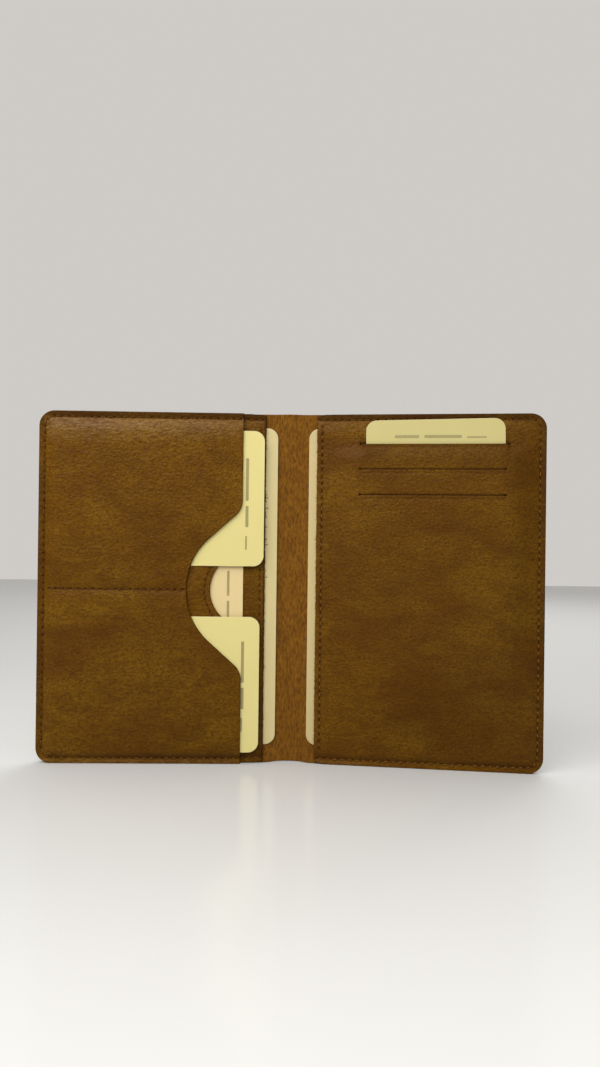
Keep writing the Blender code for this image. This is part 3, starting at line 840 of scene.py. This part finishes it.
def card_material(name, face, roughness=0.42):
    """Coated card: nearly even, with a faint fibre and a paler cut edge."""
    p = Paint(name + "_card", roughness)
    cloud = p.noise(p.coords(), 14.0, 3.0)
    fibre = p.noise(p.coords((1.0, 3.0, 1.0)), 0.8, 3.0)
    clouded = tuple(c * share for c, share in zip(face, (0.97, 0.955, 0.9)))
    colour = p.mix(p.ramp(cloud, 0.3, 0.7, 0.0, 0.5), face, clouded)
    colour = p.mix(p.math("MULTIPLY", p.attribute("cut", "Fac"), 0.6), colour, (0.8, 0.74, 0.55))
    p.set("Base Color", colour)
    p.set("Normal", p.bump(fibre, 0.012))
    return p.material


def print_material():
    """Flat printing ink, slightly uneven."""
    ink = (0.30, 0.25, 0.10)
    p = Paint("print_ink", 0.5)
    p.set("Base Color", p.mix(p.ramp(p.noise(p.coords(), 0.6), 0.3, 0.7), ink, tuple(c * 1.3 for c in ink)))
    return p.material


def textile_material():
    """Plain woven pocket lining."""
    p = Paint("textile", 0.9, Specular_IOR_Level=0.2)
    spot = p.node("TexCoord", output="Object")
    warp = p.node("TexWave", {"Vector": spot, "Scale": 900.0}, bands_direction="X")
    weft = p.node("TexWave", {"Vector": spot, "Scale": 900.0}, bands_direction="Z")
    weave = p.math("ADD", warp, weft)
    p.set("Base Color", p.mix(p.ramp(weave, 0.4, 1.6), (0.035, 0.018, 0.005), (0.08, 0.042, 0.012)))
    p.set("Normal", p.bump(weave, 0.05))
    return p.material


MATERIAL = {
    "leather": leather_material(),
    "flesh": suede_material(),
    "thread": thread_material(),
    "yellow": card_material("yellow", (0.745, 0.655, 0.262)),
    "cream": card_material("cream", (0.76, 0.60, 0.303)),
    "straw": card_material("straw", (0.65, 0.545, 0.268), 0.5),
    # Darker copies of the straw and yellow card for the pieces that lie in shade: painted shade.
    "shaded_straw": card_material("shaded_straw", (0.58, 0.46, 0.217), 0.55),
    "shaded_yellow": card_material("shaded_yellow", (0.575, 0.502, 0.205)),
    "ink": print_material(),
    "textile": textile_material(),
}


# ---- cards


CARD_THICKNESS = 0.3
CARD_CORNER, CARD_STEP = 4.2, 3.0
BAR_ROUNDING = 0.3
# The rings of a card's edge, from the front: how far in each lies, its height, and how much pale core shows.
CARD_ROUND = (
    (0.10, 0.30, 0.0),
    (0.03, 0.28, 0.6),
    (0.0, 0.23, 1.0),
    (0.0, 0.07, 1.0),
    (0.03, 0.02, 0.6),
    (0.10, 0.0, 0.0),
)


def card(node, body, side, centre, size, depth, face, bars, tilt=0.0):
    """A rounded card with soft edges. bars are printed strips, given as (x0, x1, z0, z1) on the leaf."""
    half_x, half_z = size[0] / 2, size[1] / 2
    outline = rounded_rectangle(-half_x, half_x, -half_z, half_z, CARD_CORNER)
    turn = Matrix.Rotation(math.radians(tilt), 2)
    loop = np.array([turn @ Vector(p) for p in resample(outline, CARD_STEP)]) + centre
    count = len(loop)
    border = inset(loop, CARD_ROUND[0][0])
    strips = []
    for x0, x1, z0, z1 in bars:
        strips.append(np.array(rounded_rectangle(x0, x1, z0, z1, min(x1 - x0, z1 - z0) * BAR_ROUNDING)))
    flat, triangles, rims = fill(np.vstack([border, *strips]), [border, *strips])
    middle = flat[triangles].mean(axis=1)
    inked = np.any([inside(middle, strip) for strip in strips], axis=0)
    leaf = [np.c_[flat, np.full(len(flat), depth + CARD_THICKNESS)]]
    cut = [np.zeros(len(flat))]
    indices = [rims[0]]
    total = len(flat)
    for away, height, share in CARD_ROUND[1:]:
        leaf.append(np.c_[inset(loop, away), np.full(count, depth + height)])
        cut.append(np.full(count, share))
        indices.append(list(range(total, total + count)))
        total += count
    faces = triangles.tolist()
    for upper, lower in zip(indices[:-1], indices[1:]):
        faces += [(upper[i], lower[i], lower[(i + 1) % count], upper[(i + 1) % count]) for i in range(count)]
    faces.append(tuple(reversed(indices[-1])))
    slots = inked.astype(int).tolist() + [0] * (len(faces) - len(triangles))
    leaf, cut = np.vstack(leaf), np.concatenate(cut)
    materials = [MATERIAL[face], MATERIAL["ink"]]
    obj = new_object(body + "_face", place(side, leaf), faces, leaf, cut, nowhere(leaf), materials, slots)
    for number, polygon in enumerate(obj.data.polygons):
        polygon.use_smooth = len(triangles) <= number < len(faces) - 1
    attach(obj, body)
    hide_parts(node)


# Printed strips, and the marks that the raw leather edges have left on the passport inserts.
UPPER_PRINT = ((-17.9, -16.7, 105.0, 122.0), (-17.9, -16.7, 94.5, 103.0), (-17.9, -17.2, 85.5, 91.0))
LOWER_PRINT = ((-19.0, -17.8, 32.5, 49.0), (-19.0, -17.8, 22.0, 30.5), (-19.0, -18.3, 13.0, 18.5))
ID_PRINT = ((-25.0, -24.0, 67.0, 77.0), (-25.0, -24.0, 54.0, 65.0))
SLOT_PRINT = ((41.5, 51.0, 130.3, 131.5), (53.0, 67.5, 130.3, 131.5), (69.5, 77.0, 130.3, 131.0))
LEFT_TICKS = ((-9.2, 107.4), (-8.9, 106.0), (-9.4, 104.6), (-8.8, 101.9), (-9.3, 98.6), (-9.1, 94.3),
              (-9.2, 89.4), (-8.8, 87.4), (-9.3, 76.8), (-8.9, 74.2))
RIGHT_TICKS = (126.4, 119.8, 113.5, 106.3, 104.9, 103.2, 97.6, 95.0, 89.6, 87.9, 86.2, 80.7, 74.1, 66.3, 61.8,
               52.5, 43.9, 37.2, 25.4)


def tick_top(z):
    return z + 0.6 + 0.2 * math.sin(z * 5)


def make_cards():
    card("upper_card", "upper_card", LEFT, (-51.5, 105.9), (82.0, 54.0), 3.9, "yellow",
         UPPER_PRINT)
    card("lower_card", "lower_card", LEFT, (-52.8, 31.7), (82.0, 54.0), 3.9, "yellow",
         LOWER_PRINT)
    card("id_card", "id_card", LEFT, (-55.6, 70.0), (74.0, 105.0), 2.6, "cream", ID_PRINT)
    card("slot_card", "slot_card", RIGHT, (57.8, 94.9), (54.0, 85.6), 2.9, "shaded_yellow",
         SLOT_PRINT, 0.9)
    ticks = [(-12.5, end, z, tick_top(z)) for end, z in LEFT_TICKS]
    card("left_passport_insert", "left_insert", LEFT, (-49.2, 70.9), (88.0, 127.0), 1.3,
         "straw", ticks)
    ticks = [(10.25 + 0.35 * math.sin(z * 3), 13.0, z, tick_top(z)) for z in RIGHT_TICKS]
    card("right_passport_insert", "right_insert", RIGHT, (51.4, 70.9), (88.0, 127.0), 1.3,
         "shaded_straw", ticks)


# ---- left leaf


def make_left_leaf():
    long_seam = Seam(rim_path(LEFT, BACKING_EDGE + SEAM_START), bold=near_the_bottom)
    pocket_seam = Seam(rim_path(LEFT, CARD_POCKET_EDGE + 1.0), bold=near_the_bottom)
    edge_seam = Seam([(-BACKING_SEAM, SEAM_END), (-BACKING_SEAM, HEIGHT - SEAM_END)], bold=below_the_top)

    def backing_top(points):
        return layer(points, BACKING_RIM, BACKING_FLAT) + PANEL_THICKNESS

    panel(
        "backing_panel_leather", "left_backing_panel", LEFT, leaf_outline(LEFT, BACKING_EDGE, 0.6),
        lambda p: backing_top(p) - long_seam.press(p) - edge_seam.press(p) * 0.8 + soft_form(p, 3, 0.03),
        lambda p: layer(p, BACKING_RIM, BACKING_FLAT),
        spacing=1.1, details=[long_seam.detail(), edge_seam.detail()], fray=0.21, seed=31,
        # Painted shade over the whole recessed panel, and a stronger painted shadow along its raw edge where
        # it shows beside the upper card.
        dark=lambda p: shades(p, rim_shade(p), long_seam.shade(p), edge_seam.shade(p) * 0.9, 0.08,
                              0.8 * smooth((p[:, 0] + BACKING_EDGE + 1.1) / 0.7)))
    stitches("backing_edge_stitches", "backing_edge_thread", LEFT, edge_seam,
             lambda p: backing_top(p) - BACKING_THREAD_SINK)

    moon = arc((-HALF_MOON_X, MIDDLE), HALF_MOON_RADIUS + MOON_SEAM_INSET, *MOON_SEAM_ENDS, MOON_STEPS)
    moon_seam = Seam(moon, MOON_PITCH)

    def id_top(points):
        return layer(points, ID_POCKET_RIM, ID_POCKET_FLAT) + PANEL_THICKNESS

    panel(
        "id_pocket_leather", "id_pocket_panel", LEFT, leaf_outline(LEFT, ID_POCKET_EDGE) + half_moon_edge(),
        lambda p: id_top(p) - moon_seam.press(p) * 0.8 + soft_form(p, 5, 0.02),
        lambda p: layer(p, ID_POCKET_RIM, ID_POCKET_FLAT),
        spacing=1.2, details=[moon_seam.detail()], seed=33,
        # The lowered darkening paints the panel paler: painted light.
        dark=lambda p: shades(p, rim_shade(p), moon_seam.shade(p)) - 0.14)
    stitches("id_notch_stitches", "id_notch_thread", LEFT, moon_seam, lambda p: id_top(p) - 0.05)

    divider = Seam([(-LEAF_REACH + 4.6, MIDDLE), (-NOTCH_DEEPEST - 1.2, MIDDLE)])
    pocket_edge = [(-CARD_POCKET_EDGE, 0), *thumb_notch_edge(), (-CARD_POCKET_EDGE, HEIGHT)]
    free_edge = finder(even_points(pocket_edge, 1.0))

    def card_top(points):
        x, z = points.T
        base = layer(points, CARD_POCKET_RIM, CARD_POCKET_FLAT) + PANEL_THICKNESS
        tight = smooth(nearest(points, free_edge) / 14)
        valley = VALLEY_DEPTH * ridge(z - MIDDLE, VALLEY_WIDTH) * smooth((LEAF_REACH + x - 2.5) / 6)
        return base + plump(points, 0.45, 4.5) * tight - valley

    panel(
        "card_pocket_leather", "card_pocket_panel", LEFT,
        leaf_outline(LEFT, CARD_POCKET_EDGE) + thumb_notch_edge(),
        lambda p: card_top(p) - pocket_seam.press(p) - divider.press(p) + soft_form(p, 7, 0.08),
        lambda p: np.minimum(layer(p, CARD_POCKET_RIM, CARD_POCKET_FLAT), card_top(p) - 0.75),
        details=[pocket_seam.detail(), divider.detail()], seed=35,
        dark=lambda p: shades(p, rim_shade(p), pocket_seam.shade(p), divider.shade(p)))
    stitches("divider_stitches", "divider_thread", LEFT, divider, card_top)

    def seam_surface(points):
        on_pocket = np.abs(points[:, 0]) > CARD_POCKET_EDGE + 0.2
        return np.where(on_pocket, card_top(points), backing_top(points))

    stitches("left_rim_stitches", "left_front_thread", LEFT, long_seam, seam_surface)
    fibres("backing_edge_fibres", LEFT, -BACKING_EDGE, BACKING_FLAT + FIBRE_LEVEL, 41)


# ---- right leaf


def plateau(value, limits):
    """Rises from 0 to 1 between the first two limits, and falls again between the last two."""
    return np.minimum(smooth((value - limits[0]) / (limits[1] - limits[0])),
                      smooth((limits[3] - value) / (limits[3] - limits[2])))


def slot_panel_base(points):
    """The slot panel's back surface: low round its rim and above the top slit, swollen over its pockets."""
    x, z = points.T
    base = layer(points, SLOT_PANEL_RIM, SLOT_PANEL_FLAT)
    below = SLIT_LEVELS[0] - z
    full = BULGE_HEIGHT * plateau(x, BULGE_X) * smooth((z - BULGE_Z[0]) / (BULGE_Z[1] - BULGE_Z[0]))
    lip = LIP_HEIGHT * plateau(x, LIP_X)
    share = smooth(below / LIP_DROP)
    return base + np.where(below > 0, lip * (1 - share) + full * share, 0.0)


def slit_marks(points):
    """The pressed line under each slit and the slit's turned-in lips."""
    x, z = points.T
    depth = nowhere(points)
    for level, end in zip(SLIT_LEVELS, SLIT_ENDS):
        along = smooth((x - SLIT_START + 0.6) / 1.5) * smooth((end + 0.6 - x) / 1.5)
        depth -= LINE_PRESS * along * ridge(z - level + 1.4, PRESS_WIDTH)
        depth -= SLIT_PRESS * along * ridge(z - level, PRESS_WIDTH)
    return depth


def slit_shade(points):
    """Painted shade in the slits and in the pressed line under each, widest round the top one, and on its
    lip.
    """
    x, z = points.T
    shade = nowhere(points)
    for number, (level, end) in enumerate(zip(SLIT_LEVELS, SLIT_ENDS)):
        along = smooth((x - SLIT_START + 1.0) / 1.2) * smooth((end + 1.0 - x) / 1.2)
        for drop, (strength, width) in ((0, SLIT_SHADE if number else TOP_SLIT_SHADE), (1.3, LINE_SHADE)):
            shade = np.maximum(shade, strength * along * ridge(z - level + drop, width))
    top = SLIT_LEVELS[0]
    lip = LIP_SHADE * plateau(x, LIP_X) * smooth(top - z) * smooth((z - top + LIP_DROP * 2) / LIP_DROP)
    return np.maximum(shade, lip)


def pull_wrinkles(points):
    """Creases that run from the top slit's ends, where the card strains it."""
    x, z = points.T
    away = np.hypot(x - SLIT_START, z - SLIT_LEVELS[0])
    angle = np.arctan2(z - SLIT_LEVELS[0], x - SLIT_START)
    left = np.sin(angle * 9 + 0.6 * ripple(x, z, 6.0, 21)) * ridge(away - 4, 4)
    beside = np.exp(-(((x - SLIT_ENDS[0] - 5.5) / 3.2) ** 2) - ((z - SLIT_LEVELS[0]) / 9) ** 2)
    right = np.sin(x * 2.6 + 1.5 * ripple(x, z, 7.0, 23)) * beside
    return 0.045 * left * smooth((SLIT_LEVELS[0] - z) / 1.5) + 0.035 * right


def make_right_leaf():
    seam = Seam(rim_path(RIGHT, SLOT_PANEL_EDGE + SEAM_START), RIGHT_PITCH, below_the_top)
    edge = [(SLOT_PANEL_SEAM, SEAM_END), (SLOT_PANEL_SEAM, HEIGHT - 5.0)]
    edge_seam = Seam(edge, RIGHT_PITCH, below_the_top)

    def top(points):
        return slot_panel_base(points) + PANEL_THICKNESS

    lines = [even_points([(SLIT_START - 1, level + off), (end + 1, level + off)], 0.6)
             for level, end in zip(SLIT_LEVELS, SLIT_ENDS) for off in SLIT_DETAIL]
    panel(
        "slot_panel_leather", "slot_panel", RIGHT, leaf_outline(RIGHT, SLOT_PANEL_EDGE, 0.8),
        lambda p: (top(p) - seam.press(p) - edge_seam.press(p) + slit_marks(p) + pull_wrinkles(p)
                   + soft_form(p, 11, 0.06)),
        slot_panel_base, holes=[slit_outline(*slit) for slit in zip(SLIT_LEVELS, SLIT_ENDS)],
        details=[seam.detail(), edge_seam.detail(), *lines], fray=0.22, seed=37,
        dark=lambda p: shades(p, rim_shade(p), seam.shade(p), edge_seam.shade(p), slit_shade(p)))
    stitches("slot_panel_edge_stitches", "slot_panel_edge_thread", RIGHT, edge_seam, top)
    stitches("right_rim_stitches", "right_front_thread", RIGHT, seam, top)
    fibres("slot_panel_edge_fibres", RIGHT, SLOT_PANEL_EDGE, SLOT_PANEL_FLAT + FIBRE_LEVEL, 43)


# ---- cover


def make_cover(side, inner_end, name, nodes, back_thread):
    """Half of the cover, from the middle of the spine out. It bends across its crease."""
    seam = Seam(rim_path(side, inner_end))

    def front(points):
        spine = smooth((BEND_REACH - np.abs(points[:, 0])) / 4)
        return COVER_THICKNESS - (COVER_THICKNESS - SPINE_THICKNESS) * spine

    def back(points):
        x = np.abs(points[:, 0])
        creases = 0.1 * ridge(x - CREASE_X, 0.9) + 0.06 * ridge(x - 7.6, 0.7)
        return seam.press(points) + creases

    cover = leather_sheet(
        name, side, cover_outline(side), front, back, spacing=1.0, details=[seam.detail()], bend=True,
        dark=lambda p: np.maximum(rim_shade(p) * smooth((np.abs(p[:, 0]) - 9) / 4), seam.shade(p)))
    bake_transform(cover)
    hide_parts(*nodes)
    stitches(name + "_back_stitches", back_thread, side, seam, nowhere, -1)


# ---- stage


# The bands of the studio's glow: where each starts and ends along its axis, and how strong it is there.
LOW_BAND = (0.05, 0.2, 0.45, 0.04)
BEHIND_BAND = (-0.1, 0.4, 0.04, 0.45)
OVERHEAD_BAND = (0.25, 0.95, 0.04, 1.3)
WALL_STRENGTH = 0.62

FLOOR_SIZE = 2.4
LENS, SENSOR = 26.65, 36
CAMERA_SHIFT, CAMERA_DISTANCE, CAMERA_HEIGHT = 5.95, 319.3, 91.7
CAMERA_TURNS = ((0.35, "Z"), (90.1, "X"), (0.69, "Z"))


def make_world():
    """A plain pale wall to look at. Other rays meet a soft glow overhead and a weaker one low down behind."""
    world = bpy.data.worlds.new("studio")
    bpy.context.scene.world = world
    world.use_nodes = True
    studio = Nodes(world.node_tree)
    direction = studio.node("TexCoord", output="Generated")
    height, behind = (studio.node("SeparateXYZ", {0: direction}, axis) for axis in "ZY")
    low = studio.math("MINIMUM", studio.ramp(height, *LOW_BAND), studio.ramp(behind, *BEHIND_BAND))
    glow = studio.math("MAXIMUM", low, studio.ramp(height, *OVERHEAD_BAND))
    seen = studio.node("LightPath", output="Is Camera Ray")
    background = studio.tree.nodes["Background"]
    background.inputs["Color"].default_value = (1.0, 0.965, 0.925, 1)
    strength = studio.node("Mix", {0: seen, 2: glow, 3: WALL_STRENGTH})
    studio.tree.links.new(strength, background.inputs["Strength"])


def make_stage():
    paint = Paint("floor", 0.18, Base_Color=(0.61, 0.615, 0.61, 1), Specular_IOR_Level=0.22)
    bpy.ops.mesh.primitive_plane_add(size=FLOOR_SIZE, location=(0, 0, 0))
    floor = bpy.context.object
    floor.name = "floor"
    floor.data.materials.append(paint.material)
    make_world()


LIGHTS_AIM = (0, 0, 0.07)


def area_light(name, location, size, power, colour=(1, 1, 1)):
    """A soft rectangle of light, aimed at the middle of the wallet."""
    light = bpy.data.lights.new(name, "AREA")
    light.shape = "RECTANGLE"
    light.size, light.size_y = size
    light.energy = power
    light.color = colour
    obj = add_object(name, light)
    obj.location = location
    obj.rotation_euler = (Vector(LIGHTS_AIM) - Vector(location)).to_track_quat("-Z", "Y").to_euler()
    return obj


def make_lights():
    """A soft key from the upper left, and a light from behind that the glossy floor doesn't mirror."""
    area_light("key", (-0.22, -0.42, 0.53), (0.7, 0.45), 4.25, (1.0, 0.985, 0.96))
    back = area_light("back", (0.25, 0.65, 0.6), (0.7, 0.5), 4.0)
    back.visible_glossy = False


def make_camera():
    """Square on to the open wallet, a little over half way up it."""
    data = bpy.data.cameras.new("camera")
    data.sensor_width = SENSOR
    data.lens = LENS
    data.clip_start = 0.01
    camera = add_object("camera", data)
    spine_x = (CREASES[LEFT]["pos_m"][0] + CREASES[RIGHT]["pos_m"][0]) / 2
    spine_y = CREASES[LEFT]["pos_m"][1] + COVER_THICKNESS * MM
    camera.location = (spine_x + CAMERA_SHIFT * MM, spine_y - CAMERA_DISTANCE * MM, CAMERA_HEIGHT * MM)
    look = Matrix.Identity(4)
    for degrees, axis in CAMERA_TURNS:
        look = look @ Matrix.Rotation(math.radians(degrees), 4, axis)
    camera.rotation_euler = look.to_euler()
    bpy.context.scene.camera = camera


def main():
    bpy.context.scene.view_settings.view_transform = "Standard"
    make_camera()
    left, right = ("left_cover", "spine_panel"), ("right_cover",)
    make_cover(LEFT, BACKING_EDGE + SEAM_START, "cover_left", left, "left_back_thread")
    make_cover(RIGHT, SLOT_PANEL_EDGE + SEAM_START, "cover_right", right, "right_back_thread")
    make_left_leaf()
    make_right_leaf()
    make_cards()
    for node in ("slot_lining", "slot_pocket_upper", "slot_pocket_middle", "slot_pocket_lower"):
        frame["nodes"][node].data.materials.clear()
        frame["nodes"][node].data.materials.append(MATERIAL["textile"])
    make_stage()
    make_lights()


main()
